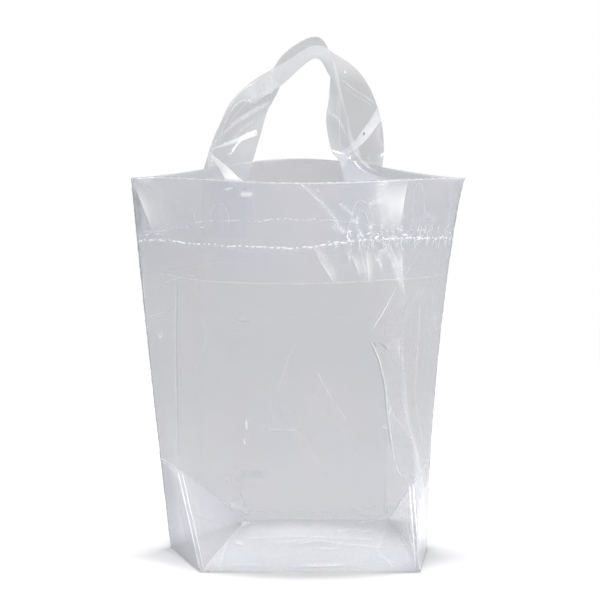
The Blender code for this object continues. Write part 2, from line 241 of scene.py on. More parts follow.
def film_material(name, cover, skim_cover=1.5):
    """A film that hides this share of what is behind it, and more by skim_cover where it is seen
    at a low angle. Its meshes have film places as a UV map in metres, and a point attribute of
    whiteness that is 1 where the film has turned white at welds and folds, and where highlights
    and lighter zones are painted white onto it."""
    material, tree, shader = blank_material(name)
    start = Signal(tree, shader.outputs[0])
    places = start.node("ShaderNodeUVMap", 0, {"uv_map": "film"})
    whitening_and_painted_light = start.node("ShaderNodeAttribute", "Fac", {"attribute_name": "whitening_and_painted_light"})
    film = places.node("ShaderNodeVectorMath", 0, {"operation": "SCALE"}, in_0=places, Scale=1000.0)
    cloud = film.grain(45, 70, 2.0)
    streak = film.grain(1.4, 60, 1.0, 7.0)
    sparkle = film.grain(1.0, 1.8, 1.0, 3.0).ramp(0.45, 0.7)
    # Fine noise breaks the white up; on the painted highlights it stands for sparkle.
    white = whitening_and_painted_light * (0.75 + 0.5 * sparkle)
    white = white.math("MINIMUM", white, 1.0)
    tint = start.node("ShaderNodeMix", 2, {"data_type": "RGBA"}, in_0=cloud.ramp(0.35, 0.65),
                      in_6=(*BLUISH_FILM, 1), in_7=(*ROSY_FILM, 1))
    shade = start.node("ShaderNodeMix", 2, {"data_type": "RGBA"}, in_0=white, in_6=tint,
                       in_7=(*WHITENED_AND_HIGHLIGHT_FILM, 1))
    alpha = cover + 0.06 * (cloud - 0.5) + 0.05 * (streak - 0.5) + (0.95 - cover) * white
    skim = skim_cover * start.node("ShaderNodeLayerWeight", "Facing", {}, Blend=0.5) ** 5
    alpha = alpha + (0.95 - alpha) * skim.math("MINIMUM", skim, 0.9)
    rough = 0.17 + 0.08 * cloud + 0.2 * white
    height = 0.6 * cloud + 0.03 * streak + 0.02 * sparkle * whitening_and_painted_light
    bump = start.node("ShaderNodeBump", 0, {}, Height=height, Strength=0.4, Distance=0.001)
    feed(shader, Base_Color=shade, Alpha=alpha, Roughness=rough, Normal=bump, IOR=1.51,
         Specular_IOR_Level=1, Coat_Weight=1, Coat_Roughness=0.12)
    return material


def line_material():
    """The hair line that a sharp fold leaves, also used for painted light. Its attribute is above 0
    where it is white, for film turned white and for painted highlights, and below 0 where it is
    painted shade."""
    material, tree, shader = blank_material("fold_line_and_painted_light_film")
    start = Signal(tree, shader.outputs[0])
    whitening_and_painted_light = start.node("ShaderNodeAttribute", "Fac", {"attribute_name": "whitening_and_painted_light"})
    turned = whitening_and_painted_light.math("GREATER_THAN", whitening_and_painted_light, 0.0)
    shade = whitening_and_painted_light.node("ShaderNodeMix", 2, {"data_type": "RGBA"}, in_0=turned,
                        in_6=(*SHADED_FILM, 1), in_7=(*WHITENED_AND_HIGHLIGHT_FILM, 1))
    feed(shader, Base_Color=shade, Alpha=whitening_and_painted_light.math("ABSOLUTE", whitening_and_painted_light), Roughness=0.25)
    return material


class Web:
    """Sheets of film that are one mesh. A sheet is a grid of points with the film place of each."""

    def __init__(self, name):
        self.name, self.count = name, 0
        self.points, self.faces, self.places, self.whitening_and_painted_light = [], [], [], []

    def add(self, points, s, v, whitening_and_painted_light=0.0, flip=False):
        rows, columns = points.shape[:2]
        index = self.count + np.arange(rows * columns).reshape(rows, columns)
        quads = np.stack([index[:-1, :-1], index[:-1, 1:], index[1:, 1:], index[1:, :-1]], -1)
        quads = quads.reshape(-1, 4)
        self.count += rows * columns
        self.faces.append(quads[:, ::-1] if flip else quads)
        self.points.append(points.reshape(-1, 3))
        s, v, whitening_and_painted_light = (np.broadcast_to(value, (rows, columns)).ravel() for value in (s, v, whitening_and_painted_light))
        self.places.append(np.stack([s, v], -1))
        self.whitening_and_painted_light.append(whitening_and_painted_light)

    def build(self, material, node=None):
        mesh = bpy.data.meshes.new(self.name)
        points, faces = np.concatenate(self.points) / 1000, np.concatenate(self.faces)
        mesh.from_pydata(points.tolist(), [], faces.tolist())
        corners = np.empty(len(mesh.loops), np.int32)
        mesh.loops.foreach_get("vertex_index", corners)
        places = (np.concatenate(self.places) / 1000)[corners]
        mesh.uv_layers.new(name="film").data.foreach_set("uv", places.astype(np.float32).ravel())
        whitening_and_painted_light = mesh.attributes.new("whitening_and_painted_light", "FLOAT", "POINT")
        whitening_and_painted_light.data.foreach_set("value", np.concatenate(self.whitening_and_painted_light).astype(np.float32))
        bm = bmesh.new()
        bm.from_mesh(mesh)
        bmesh.ops.remove_doubles(bm, verts=bm.verts, dist=0.00001)
        bmesh.ops.dissolve_degenerate(bm, edges=bm.edges, dist=0.000002)
        bm.to_mesh(mesh)
        bm.free()
        mesh.materials.append(material)
        mesh.shade_smooth()
        mesh.set_sharp_from_angle(angle=math.radians(50))
        piece = put_in(self.name, mesh)
        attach(piece, "root")
        if node:
            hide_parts(node)


def waves(s, h, across, along, seed):
    """Smooth random height between -1 and 1, of the given lengths across and along the film."""
    s, h = np.broadcast_arrays(s, h)
    flat = [noise.noise(Vector((a / across, b / along, seed))) for a, b in zip(s.ravel(), h.ravel())]
    return np.array(flat).reshape(s.shape)


def bump_at(s, h, centre, reach, angle=0.0):
    """A soft round-topped swelling. reach is its half length along and across, angle in degrees."""
    turn = math.radians(angle)
    ds, dh = s - centre[0], h - centre[1]
    a = ds * math.cos(turn) + dh * math.sin(turn)
    b = dh * math.cos(turn) - ds * math.sin(turn)
    return np.exp(-((a / reach[0]) ** 2) - (b / reach[1]) ** 2)


def bell(off, width):
    """1 where off is 0, and next to nothing at twice this width from there."""
    return np.exp(-((off / width) ** 2))


def near_path(s, h, path):
    """How far each place is from a path on the film, and how far along the path it lies, 0 to 1."""
    path = np.array(path, float)
    lengths = np.linalg.norm(np.diff(path, axis=0), axis=1)
    best, where = np.full(np.shape(s), 1e9), np.zeros(np.shape(s))
    run = 0.0
    for a, b, length in zip(path, path[1:], lengths):
        t = np.clip(((s - a[0]) * (b[0] - a[0]) + (h - a[1]) * (b[1] - a[1])) / length**2, 0, 1)
        d = np.hypot(s - a[0] - t * (b[0] - a[0]), h - a[1] - t * (b[1] - a[1]))
        where = np.where(d < best, (run + t * length) / lengths.sum(), where)
        best = np.minimum(d, best)
        run += length
    return best, where


def ridge(s, h, path, width, height):
    """A sharp fold along a path of film places, which dies out towards both its ends."""
    away, where = near_path(s, h, path)
    return height * np.sin(np.pi * np.clip(where, 0.03, 0.97)) ** 0.6 * np.exp(-away / width)


# Bag body
# One web of film: front panel, gusset and back panel, welded at both sides, with its top turned in
# and welded along one line to make the hem. It stands open, slack, and creased from its packing.

FRONT, BACK = -1, 1
LEFT, RIGHT = 0, 1
body_low, body_high = (np.array(corner) * 1000 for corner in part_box("film_bag"))

FLAT_WIDTH = 300
PANEL_HEIGHT = 295
GUSSET_LEAF = 73
HEM_DEPTH = 75
FRONT_LEGS, BACK_LEGS = (70, 65), (98.5, 86)
FRONT_SHIFT, BACK_SHIFT = 9, 15
TUCK_LENGTH, TUCK_DROP = (15.5, 23.5), (32, 56)
POCKET_BELLY = 3
RIM_REACH = (55, 69)
RIM_CORNER_Y = -10
FRONT_PINCH, BACK_PINCH = (1.4, 0.9), (1.4, 1.4)
RIM_CORNER_DROP = 5
BACK_RIM_SAG = 0.8
SEAM_BOW = (-1, 6.8)
SEAM_BOW_RISE, SEAM_BOW_ROUNDNESS = 1.2, 0.6
SEAM_NIBBLE = 0.45
BUCKLE_DEPTH = 9
BUCKLE_FOLD = ((55, 30), (118, 78), (178, 95), (217, 40))
WELD_LINE = {
    FRONT: ((0, 246), (145, 246), (160, 247.5), (190, 251), (231, 251), (257, 250), (300, 247.5)),
    BACK: ((0, 250), (42, 252), (65, 254), (110, 247), (222, 246.5), (256, 249), (300, 252)),
}


def corner_points(side):
    legs, shift = (FRONT_LEGS, FRONT_SHIFT) if side == FRONT else (BACK_LEGS, BACK_SHIFT)
    half = (FLAT_WIDTH - sum(legs)) / 2
    return np.array([[shift - half, side * GUSSET_LEAF], [shift + half, side * GUSSET_LEAF]])


def ear_tip(end):
    front, back = corner_points(FRONT)[end], corner_points(BACK)[end]
    across = back - front
    span = np.hypot(*across)
    near = (FRONT_LEGS[end] ** 2 - BACK_LEGS[end] ** 2 + span**2) / (2 * span)
    out = math.sqrt(FRONT_LEGS[end] ** 2 - near**2)
    normal = np.array([across[1], -across[0]]) / span * (-1 if end == LEFT else 1)
    return front + across / span * near + normal * out


def running_length(line):
    return np.concatenate([[0], np.cumsum(np.linalg.norm(np.diff(line, axis=0), axis=1))])


def run_along(line, share):
    """Points at the given shares of a polyline's length."""
    run = running_length(line)
    return np.stack([np.interp(np.asarray(share) * run[-1], run, line[:, k]) for k in range(2)], -1)


def rim_line(side):
    t = np.linspace(-1, 1, 321)
    left, right = FRONT_PINCH if side == FRONT else BACK_PINCH
    reach = RIM_REACH[0 if side == FRONT else 1] * (1 - t * t) ** np.where(t < 0, left, right)
    x = (body_low[0] + body_high[0]) / 2 + t * (body_high[0] - body_low[0]) / 2
    return np.stack([x, RIM_CORNER_Y + side * reach], -1)


def rim_drop(side, t):
    if side == FRONT:
        return RIM_CORNER_DROP * t**4
    part = np.minimum(t / BACK_RIM_SAG, 1)
    return RIM_CORNER_DROP * part * part * (3 - 2 * part)


def panel(side, s, h):
    """The smooth surface of a panel, on which the creases lie."""
    share = h / PANEL_HEIGHT
    left, right = corner_points(side)
    floor_line = np.array([ear_tip(LEFT), left, right, ear_tip(RIGHT)])
    low, high = run_along(floor_line, s / FLAT_WIDTH), run_along(rim_line(side), s / FLAT_WIDTH)
    t = 2 * s / FLAT_WIDTH - 1
    bow = SEAM_BOW[0] * np.maximum(-t, 0) ** 2 - SEAM_BOW[1] * np.maximum(t, 0) ** 2
    arch = np.maximum(np.sin(np.pi * np.clip(share, 0, 1) ** SEAM_BOW_RISE), 0) ** SEAM_BOW_ROUNDNESS
    nibble = (SEAM_NIBBLE * waves(h, np.sign(t) * 50, 1.9, 1, 90.5)
              * np.exp(-(1 - np.abs(t)) * FLAT_WIDTH / 1.5))
    flat = low + (high - low) * share[..., None]
    x = flat[..., 0] + bow * arch + np.sign(t) * nibble
    return np.stack([x, flat[..., 1], h - rim_drop(side, np.abs(t)) * share], -1)


def outward(side, s, h):
    along = panel(side, s + 0.5, h) - panel(side, s - 0.5, h)
    up = panel(side, s, h + 0.5) - panel(side, s, h - 0.5)
    out = np.cross(along, up) * -side
    return out / np.maximum(np.linalg.norm(out, axis=-1, keepdims=True), 1e-9)


def buckle(s, h):
    """The slack side of the front panel has fallen in behind a sharp fold."""
    heights, widths = zip(*BUCKLE_FOLD)
    u = (FLAT_WIDTH - s) / np.interp(h, heights, widths)
    swell = np.sin(np.pi * np.clip((h - heights[0]) / (heights[-1] - heights[0]), 0, 1))
    return -BUCKLE_DEPTH * swell * np.sin(np.pi * np.clip(u, 0, 1) ** 1.35)


def crimp(s, h, side):
    """The hem's weld has shrunk, and has drawn the film beside it into short upright ripples."""
    weld = h - np.interp(s, *zip(*WELD_LINE[side]))
    busy = (0.12 + 0.88 / (1 + np.exp(-(s - 196) / 10))) if side == FRONT else 0.2
    ripple = np.sin(2 * np.pi * (s + 2.2 * waves(s, h, 9, 30, 4.5)) / 3.6) * (0.6 + waves(s, h, 8, 6, 5.5))
    return busy * ripple * np.exp(-np.abs(weld) / 6.5), weld, busy


# Creases that bend the front panel and also show as a hair line, as paths of film places.
RIGHT_CREASE = ((259, 217), (264, 179), (265, 124), (282, 82))
LEFT_CREASE = ((40, 218), (36, 168), (34, 124), (31, 78))
LEFT_RIPPLE = ((1, 185), (16, 189), (34, 194))
LEFT_DENT = ((4, 175), (12, 171), (24, 179))
MIDDLE_DENT = ((147, 178), (139, 165), (130, 138))

# Sharp folds of the front panel: path of film places, half width, height outwards.
FRONT_FOLDS = (
    (((272, 221), (242, 209), (221, 195), (202, 181)), 5, 1.5),
    (((203, 180), (211, 161), (215, 142), (216, 121), (219, 92), (227, 70)), 5, 1.5),
    (((205, 176), (213, 173), (221, 167)), 2.5, -1.2),
    (((150, 295), (160, 284), (170, 270), (184, 257)), 4, 1.4),
    (((158, 293), (172, 279), (186, 262)), 3.5, -0.9),
    (((161, 246), (168, 237), (174, 229), (178, 220)), 3, 1.2),
    (LEFT_CREASE, 3, 0.7),
    (LEFT_RIPPLE, 3, 0.9),
    (LEFT_DENT, 3, -0.9),
    (MIDDLE_DENT, 4, 0.5),
    (((159, 158), (172, 133), (188, 110)), 4, 0.6),
    (((91, 181), (101, 183), (118, 200)), 3, 0.5),
    (RIGHT_CREASE, 4, 0.9),
)


# Highlights painted white onto the front panel where its small creases would catch the light: path, half
# width, how white.
FRONT_PAINTED_HIGHLIGHTS = (
    (((3, 290), (9, 281), (13.5, 268), (18.5, 254)), 2.4, 0.5),
    (((9, 290), (17, 280), (23, 268), (27, 255)), 7, 0.32),
    (((150, 295), (160, 286), (170, 277), (178, 267), (184, 257)), 1.4, 0.5),
    (((182, 278), (191, 271)), 1.6, 0.7),
    (((176, 262), (183, 259)), 2.2, 0.6),
    (((192, 266), (193, 266)), 2.0, 0.8),
    (((205, 261), (207, 261)), 1.8, 0.7),
    (((207, 278), (213, 280), (221, 278)), 2.6, 0.7),
    (((226, 274), (235, 268)), 3.4, 0.4),
    (((249, 262), (262, 268), (272, 264)), 3.2, 0.25),
    (((286, 290), (290, 270), (291, 254)), 3.5, 0.2),
)


def front_relief(s, h):
    """Creases and slack of the front panel, outwards, and how white the film is there: whitened along the
    weld, lighter towards the right below it, and painted highlights.
    """
    edge = np.clip(np.minimum(s, FLAT_WIDTH - s) / 12, 0, 1) * np.clip(h / 25, 0, 1)
    relief = 1.3 * waves(s, h, 55, 120, 1.5) * edge + 0.45 * waves(s, h, 22, 45, 2.5) * edge + buckle(s, h)
    ripple, weld, busy = crimp(s, h, FRONT)
    relief += edge * (0.55 * ripple - 0.5 * bell(weld, 1.3))
    fan = bell(s - 196, 30) * np.where(weld < 0, np.exp(weld / 22), np.exp(-weld / 8))
    relief += 0.8 * fan * np.cos(2 * np.pi * (s - 196 + 0.1 * weld) / (10 + 0.16 * np.maximum(-weld, 0)))
    relief += 1.0 * bump_at(s, h, (224, 270), (22, 10), 10) - 0.7 * bump_at(s, h, (199, 266), (9, 13))
    relief += 0.4 * bump_at(s, h, (186, 273), (6, 10), 35)
    beside = s - np.interp(h, (252, 260, 271, 278, 285, 291), (19, 17.5, 16, 12.5, 7.5, 1))
    turned = np.where(beside > 0, 0.2 * beside * bell(beside, 16),
                      -0.2 * beside * bell(beside, 9))
    relief += turned * np.clip((h - 244) / 8, 0, 1)
    for centre in (84, 199):
        ring = np.hypot((s - centre) / 9, (h - 262) / 16)
        relief += 0.22 * np.cos(2 * np.pi * ring * 1.6) * np.exp(-(ring**2)) * (h > 250)
    busy_hem = bell(s - 222, 30) * np.clip((h - 252) / 8, 0, 1)
    relief += busy_hem * (0.06 * waves(s, h, 4.5, 30, 6.5) + 0.15 * waves(s, h, 9, 14, 7.5))
    for path, width, height in FRONT_FOLDS:
        relief += ridge(s, h, path, width, height)
    # Whiteness: the weld turned white, the right part below it made lighter, then the painted highlights.
    white = (0.12 * bell(weld, 1.1)
             + 0.10 / (1 + np.exp(-(s - 212) / 3)) * np.clip((246 - h) / 8, 0, 1))
    for path, width, amount in FRONT_PAINTED_HIGHLIGHTS:
        streaks = 0.85 + 0.3 * waves(s, h, 2.5, 14, 9.5)
        white = white + amount * streaks * bell(near_path(s, h, path)[0], width)
    return relief * np.clip((PANEL_HEIGHT - h) / 4, 0, 1), np.clip(white, 0, 1)


def back_relief(s, h):
    edge = np.clip(np.minimum(s, FLAT_WIDTH - s) / 12, 0, 1) * np.clip(h / 25, 0, 1)
    relief = 1.4 * waves(s, h, 60, 130, 11.5) * edge + 0.5 * waves(s, h, 25, 50, 12.5) * edge
    ripple, weld, _ = crimp(s, h, BACK)
    relief += edge * (0.5 * ripple - 0.4 * bell(weld, 1.3))
    relief += ridge(s, h, ((226, 190), (219, 100), (212, 8)), 3, 1.0)
    relief += ridge(s, h, ((89, 50), (84, 36), (88, 12)), 5, 1.4)
    white = 0.12 * bell(weld, 1.1)
    return relief * np.clip((PANEL_HEIGHT - h) / 4, 0, 1), np.clip(white, 0, 1)


def film_at(side, s, h, proud=0.0):
    """Points on the creased panel, this far outside it, and how white the film is there."""
    s, h = np.broadcast_arrays(np.asarray(s, float), np.asarray(h, float))
    relief, white = (front_relief if side == FRONT else back_relief)(s, h)
    seam = 0.3 * bell(np.minimum(s, FLAT_WIDTH - s), 2)
    return panel(side, s, h) + outward(side, s, h) * (relief + proud)[..., None], np.maximum(white, seam)


def web_height(side, h):
    """A panel's height as a place along the unrolled web, which runs on from the front panel."""
    return h if side == FRONT else -2 * GUSSET_LEAF - h


PANEL_ROWS = np.concatenate([np.linspace(0, GUSSET_LEAF, 46),
                             np.linspace(GUSSET_LEAF, PANEL_HEIGHT, 160)[1:]])
PANEL_COLUMNS = {
    FRONT: np.unique(np.concatenate([np.linspace(0, FLAT_WIDTH, 251), [1.8, 70, 235, 298.2]])),
    BACK: np.unique(np.concatenate([np.linspace(0, FLAT_WIDTH, 91), [1.8, 98.5, 214, 298.2]])),
}


def add_panel(web, side):
    s, h = np.meshgrid(PANEL_COLUMNS[side], PANEL_ROWS)
    points, white = film_at(side, s, h)
    web.add(points, s, web_height(side, h), white, flip=side == BACK)


def add_hem_flap(web, side):
    """The turned film behind a panel, from the rim down to its free edge."""
    edge = PANEL_HEIGHT - HEM_DEPTH
    rows = np.concatenate([np.linspace(PANEL_HEIGHT, PANEL_HEIGHT - 3, 4),
                           np.linspace(PANEL_HEIGHT - 6, edge, 38)])
    s, h = np.meshgrid(PANEL_COLUMNS[side], rows)
    below = np.maximum(np.interp(s, *zip(*WELD_LINE[side])) - h, 0)
    loose = np.clip(np.minimum(s, FLAT_WIDTH - s) / 10, 0, 1) * (1 - np.exp(-below / 8))
    apart = 0.3 + loose * (0.9 + 0.8 * below / 27 * waves(s, h, 26, 60, 21.5))
    points, white = film_at(side, s, h, -np.where(h > PANEL_HEIGHT - 0.01, 0, apart))
    # The turned film takes half of the panel's whiteness, its painted highlights with it.
    web.add(points, s, web_height(side, 2 * PANEL_HEIGHT - h), 0.5 * white, flip=side == FRONT)


def gusset_top(end):
    """Where the gusset's middle fold ends in the side weld."""
    return panel(FRONT, np.array([0.0, FLAT_WIDTH])[[end]], np.array([float(GUSSET_LEAF)]))[0]


def tuck_point(end):
    """The inner end of the gusset's middle fold, a short way in from the side weld."""
    drop = math.radians(TUCK_DROP[end])
    inwards = 1 if end == LEFT else -1
    return gusset_top(end) + TUCK_LENGTH[end] * np.array([math.cos(drop) * inwards, 0, -math.sin(drop)])


def add_gusset_end(web, end):
    """One end of the gusset: two leaves tucked against the walls and the slope between them."""
    share = np.linspace(0, 1, 46)[:, None]
    weld_s = 0.0 if end == LEFT else float(FLAT_WIDTH)
    inwards = 1 if end == LEFT else -1
    tuck = tuck_point(end)
    creases = []
    for side in (FRONT, BACK):
        leg = (FRONT_LEGS if side == FRONT else BACK_LEGS)[end]
        weld = panel(side, np.full_like(share, weld_s), share * GUSSET_LEAF)[:, 0]
        corner = np.append(corner_points(side)[end], 0.0)
        crease = corner + (tuck - corner) * share
        s = PANEL_COLUMNS[side]
        s = s[s <= leg] if end == LEFT else s[s >= FLAT_WIDTH - leg][::-1]
        u = (np.abs(s - weld_s) / leg)[None]
        flat = weld[:, None] + (crease[:, None] - weld[:, None]) * u[..., None]
        away = np.cross(tuck - corner, weld[0] - corner)
        away *= -side * np.sign(away[1]) / np.linalg.norm(away)
        belly = np.sin(np.pi * u) * np.sin(np.pi * share)
        belly = belly * (POCKET_BELLY + 0.7 * waves(u * leg, share * 73, 12, 18, 31.5 + side + 3 * end))
        v = -share * GUSSET_LEAF if side == FRONT else share * GUSSET_LEAF - 2 * GUSSET_LEAF
        # Painted light: the gusset's leaves, and its slope below, are given some whiteness so that the bag's
        # lower part looks lighter.
        web.add(flat + away * belly[..., None], s[None], v, 0.22, flip=(side == FRONT) == (end == LEFT))
        creases.append(crease)
    v = np.linspace(0, 1, 24)[None]
    slope = creases[0][:, None] + (creases[1][:, None] - creases[0][:, None]) * v[..., None]
    lift = np.sin(np.pi * v) * np.sin(np.pi * share) * 0.9 * waves(v * 146, share * 73, 16, 16, 41.5 + end)
    s = weld_s + inwards * (FRONT_LEGS[end] + (BACK_LEGS[end] - FRONT_LEGS[end]) * v)
    web.add(slope + np.array([0, 0, 1]) * lift[..., None], s, -2 * GUSSET_LEAF * v + 0 * share,
            0.22, flip=end == RIGHT)


def base_point(across, depth, proud=0.0):
    """A point of the base: across from the left fold to the right, depth from front to back, 0 to 1."""
    across, depth = np.broadcast_arrays(np.asarray(across, float), np.asarray(depth, float))
    front, back = corner_points(FRONT), corner_points(BACK)
    near = front[0] + (front[1] - front[0]) * across[..., None]
    far = back[0] + (back[1] - back[0]) * across[..., None]
    ripple = 1 + waves(across * 180, depth * 146, 20, 12, 51.5)
    lift = np.sin(np.pi * across) * np.sin(np.pi * depth) * ripple
    return np.dstack([near + (far - near) * depth[..., None], 0.6 * lift + proud])


def bag_body():
    web = Web("bag_film")
    for side in (FRONT, BACK):
        add_panel(web, side)
        add_hem_flap(web, side)
    add_gusset_end(web, LEFT)
    add_gusset_end(web, RIGHT)
    across, depth = np.meshgrid(np.linspace(0, 1, 60), np.linspace(0, 1, 44))
    # Painted light: the base is given some whiteness so that it looks lighter.
    web.add(base_point(across, depth), 70 + across * 165, -2 * GUSSET_LEAF * depth, 0.30, flip=True)
    web.build(film_material("body_film", 0.27), node="film_bag")


bag_body()


# Fold lines
# Hair lines on the film where it was creased flat in its packing or is folded by its own weight,
# and the edges of its welds. Among them are painted highlights, where a crease would catch the
# light, and below 0 painted shade beside folds, down the left of the hem and along the base's
# front edge; the dark lines down the side welds are their edges. Each is a path of film places,
# its width, and how white it is.

FRONT_LINES = (
    # The rim: a white line, partly whitened fold and partly painted highlight, with painted shade on its
    # edge.
    (((0, 294.4), (300, 294.4)), 1.8, 0.95),
    (((0, 295), (300, 295)), 0.6, -0.45),
    (((1, 291), (7, 285), (12, 278), (16, 271), (17.5, 260), (19, 252)), 1.3, 0.55),
    (((228, 216), (216, 198), (203, 181)), 1.3, 0.75),
    (((203, 180), (211, 161), (215, 142), (216, 121), (219, 92), (222, 78), (228, 70)), 1.2, 0.7),
    (((202, 178), (209.5, 161), (213.5, 142), (214.5, 121), (217.5, 92)), 1.2, -0.3),
    (((205, 176), (209, 171)), 1.8, -0.45),
    (((212, 174), (221, 167)), 1.8, -0.4),
    (((249, 235), (239, 226), (230, 216)), 1.5, 0.35),
    (RIGHT_CREASE, 1.6, 0.45),
    (((4, 254), (17, 252.5), (35, 255)), 1.6, 0.9),
    (((66, 258.5), (72, 259)), 1.6, 0.8),
    (((257, 217), (262, 179), (263, 124)), 1.2, 0.25),
    (LEFT_CREASE, 1.3, 0.4),
    (((42, 218), (38, 168), (36, 124), (33, 78)), 1.0, -0.2),
    (((44, 210), (42, 150), (38, 90)), 1.0, 0.2),
    (LEFT_RIPPLE, 1.5, 0.4),
    (((5, 185), (17, 185), (34, 187)), 1.2, 0.3),
    (LEFT_DENT, 2.2, 0.4),
    (((65, 192), (75, 181), (72, 170), (65, 155), (56, 142)), 2.5, 0.15),
    (((97, 194), (104, 192), (112, 194)), 1.8, 0.25),
    (((91, 181), (101, 183)), 1.8, 0.25),
    (((97, 192), (104, 190), (112, 192)), 1.4, -0.15),
    (MIDDLE_DENT, 2.5, 0.14),
    (((159, 158), (165, 145), (172, 133), (188, 110)), 1.5, 0.3),
    (((105, 119), (106, 106)), 2.4, 0.9),
    (((103, 104), (105, 95)), 2.0, 0.7),
    (((116, 109), (133, 109.5), (150, 109)), 1.0, 0.4),
    (((210, 113), (216, 108)), 1.4, 0.8),
    (((16, 221), (61, 219), (99, 219), (175, 220), (217, 221), (297, 219)), 1.2, 0.4),
    (((76, 254), (75.5, 264), (77, 272), (80, 276), (84, 277.5), (88, 276), (91, 272), (92.5, 264),
      (92, 254)), 1.1, 0.35),
    (((79, 254), (79, 262), (80.5, 268), (84, 271), (87.5, 268), (89, 262), (89, 254)), 1.0, 0.3),
    (((57, 256), (56.5, 266), (58, 271), (60, 271), (61.5, 266), (61, 256)), 1.0, 0.35),
    (((190, 256), (190, 266), (192, 275), (195, 279.5), (199, 281), (203, 279.5), (206.5, 275),
      (208.5, 266), (208, 256)), 1.1, 0.4),
    (((193, 256), (193.5, 265), (195.5, 271.5), (199, 274), (202.5, 271.5), (204.5, 265),
      (205, 256)), 1.0, 0.35),
    (((246, 254), (245, 272), (246.5, 286), (249.5, 292), (253, 291.5), (256.5, 284), (258, 270),
      (258, 254)), 1.1, 0.35),
    (((19, 205), (21, 210), (26, 214), (44, 219), (58, 222), (63, 221), (67.5, 209)), 1.3, 0.35),
    (((281, 75), (258, 71), (234, 67.5), (230, 52), (230, 35), (239, 11)), 1.3, 0.45),
    (((225, 42.5), (245, 32.5)), 1.2, 0.4),
    (((225, 42.5), (232.5, 14)), 1.2, 0.4),
    (((161, 246), (167.5, 237.5), (173, 229), (177.5, 220)), 1.3, 0.35),
    (((184, 245), (177.5, 239)), 1.3, 0.35),
    (((194, 247.5), (194.5, 235), (194, 222.5)), 1.2, 0.35),
    (((202.5, 244), (203, 232), (204, 220)), 1.2, 0.35),
    (((211, 245), (217, 240), (224, 234)), 1.2, 0.35),
    (((1, 4), (1, 150), (1, 293)), 1.6, -0.35),
    (((299, 4), (299, 150), (299, 293)), 1.6, -0.35),
    (((281, 215), (283, 160), (279, 110), (287, 76)), 1.2, 0.3),
    (((272, 219), (275, 180), (272, 140), (276, 100)), 1.1, 0.25),
    (((250, 205), (252, 170), (247, 130), (252, 96)), 1.3, 0.3),
    (((236, 196), (241, 150), (238, 118)), 1.2, 0.25),
    (((24, 70), (30, 40), (44, 14)), 1.2, 0.35),
    (((48, 60), (56, 36), (64, 12)), 1.2, 0.4),
    (((250, 70), (262, 44), (252, 16)), 1.4, 0.4),
    (((270, 66), (262, 30), (268, 8)), 1.4, 0.45),
    (((244, 60), (256, 50), (270, 62)), 1.4, 0.4),
    # Painted shade down the left of the hem, beside its corner fold.
    (((3.5, 250), (4.5, 268), (4, 288)), 7, -0.28),
    (((263, 254), (266, 268), (270, 256)), 1.0, 0.3),
    # From here on, painted highlights on the hem.
    (((18, 252), (21, 251), (27, 252)), 2.0, 0.9),
    (((100, 285), (107, 285), (114, 285.5)), 5.5, 1.3),
    (((87, 287), (92, 288), (97, 290)), 1.6, 0.8),
    (((124, 266), (127, 267.5)), 1.6, 0.9),
    (((131, 267.5), (134, 267)), 1.8, 0.9),
    (((137, 268), (140, 268.5)), 1.8, 0.9),
    (((135, 295), (138, 292)), 1.2, 0.8),
    (((150, 295), (154, 291)), 1.4, 0.9),
    (((162, 291), (166, 287)), 1.4, 0.8),
)
BACK_LINES = (
    (((0, 294.4), (300, 294.4)), 1.2, 0.4),
    (((0, 295), (300, 295)), 0.6, -0.35),
    (((226, 190), (220, 78), (212, 2)), 1.3, 0.4),
    (((224, 190), (218, 78), (210, 2)), 1.0, -0.15),
    (((86, 10), (101, 6), (140, 5), (175, 5)), 1.4, 0.8),
    (((175, 5), (190, 3), (201, 1), (212, 3)), 1.6, 0.5),
    (((1, 4), (1, 150), (1, 293)), 1.2, -0.2),
    (((299, 4), (299, 150), (299, 293)), 1.2, -0.2),
    (((110, 118), (124, 96), (118, 70)), 5, 0.12),
    (((128, 100), (150, 60), (168, 34)), 8, 0.12),
    (((150, 110), (172, 84), (196, 52)), 7, 0.12),
    (((95, 37), (106, 38), (119, 37)), 9, -0.3),
    (((89, 48), (91, 33)), 2.6, 0.9),
    (((76, 46), (79, 33)), 3.0, 0.75),
    (((0, 220), (150, 221), (300, 219)), 1.0, 0.25),
)
LINE_STEP = 1.5
BASE_SPAN = (160, 146)

# Painted highlights: small flat facets between creases, painted white where they would catch the
# light whole. Each has four corners, whitest along the edge from the first to the second, and how
# white that is.
FRONT_HIGHLIGHT_FACETS = (
    (((1, 293), (18, 250), (58, 253), (38, 294)), 1.0),
    (((241, 296), (231, 258), (190, 262), (194, 295)), 0.95),
    (((87, 288), (96, 290.5), (95, 287), (88, 285.5)), 0.9),
    (((162, 240), (176, 219), (182, 224), (172, 243)), 1.0),
    (((159, 248), (165, 236), (174, 240), (168, 248)), 0.7),
    (((189, 242), (197, 223), (204, 228), (198, 244)), 0.8),
    (((202, 248), (203.8, 217), (213, 222), (210, 246)), 0.9),
    (((211, 242), (220, 246), (227, 236), (216, 230)), 0.7),
    (((285, 78), (285, 52), (233, 64), (232, 71)), 0.6),
)
BACK_HIGHLIGHT_FACETS = (
    (((170, 4), (185, 9), (203, 6), (190, 1)), 0.5),
    (((190, 10), (205, 12), (207, 3), (196, 5)), 0.6),
    (((98, 8), (92, 24), (95, 26), (102, 9)), 0.9),
)
